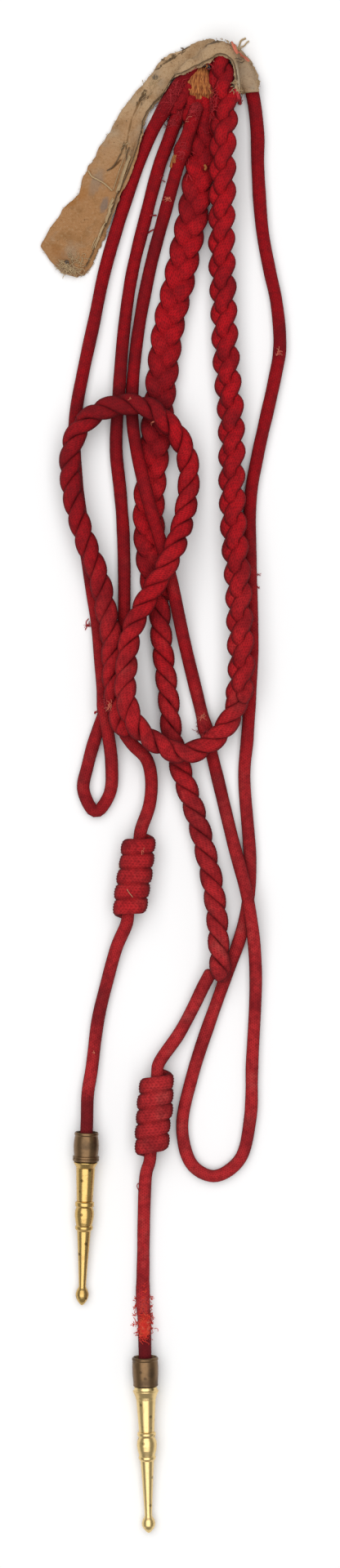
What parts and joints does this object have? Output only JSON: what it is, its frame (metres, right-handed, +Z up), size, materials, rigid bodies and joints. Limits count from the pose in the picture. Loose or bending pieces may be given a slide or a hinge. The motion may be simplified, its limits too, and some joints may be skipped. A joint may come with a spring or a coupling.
{
  "type": "aiguillette",
  "caption": "Shoulder ornament of plaited, twisted and looped wool cord that hangs from a folded linen tab and ends in wound knots and pointed brass tags.",
  "frame": {"origin": "middle of the outline seen from above, on the surface that the ornament lies on", "axes": "+Y along the ornament from the brass tags to the linen tab, +Z up from the surface, +X to the right seen from above"},
  "size_m": [0.119, 0.7335, 0.0328],
  "materials": {
    "red_wool": "braided wool cover, matt, worn and dusty",
    "linen": "plain woven linen, unbleached, stained and frayed",
    "cotton_core": "bare cotton yarn, matt",
    "polished_brass": "turned and polished, lightly tarnished",
    "dark_brass": "dark patina"
  },
  "bodies": {
    "root": {"cotton_core": "cotton_core", "right_tail_cord": "red_wool", "right_wound_knot": "red_wool", "right_tag_socket": "dark_brass", "right_brass_tag": "polished_brass", "back_rope_strand_1": "red_wool", "back_rope_strand_2": "red_wool", "back_plait_strand_1": "red_wool", "back_plait_strand_2": "red_wool", "back_plait_strand_3": "red_wool", "right_loop_cord": "red_wool", "left_loop_cord": "red_wool", "left_tail_cord": "red_wool", "left_wound_knot": "red_wool", "left_tag_socket": "dark_brass", "left_brass_tag": "polished_brass", "front_rope_strand_1": "red_wool", "front_rope_strand_2": "red_wool", "front_plait_strand_1": "red_wool", "front_plait_strand_2": "red_wool", "front_plait_strand_3": "red_wool", "tab_under_ply": "linen", "tab_top_ply": "linen"}
  },
  "joints": []
}
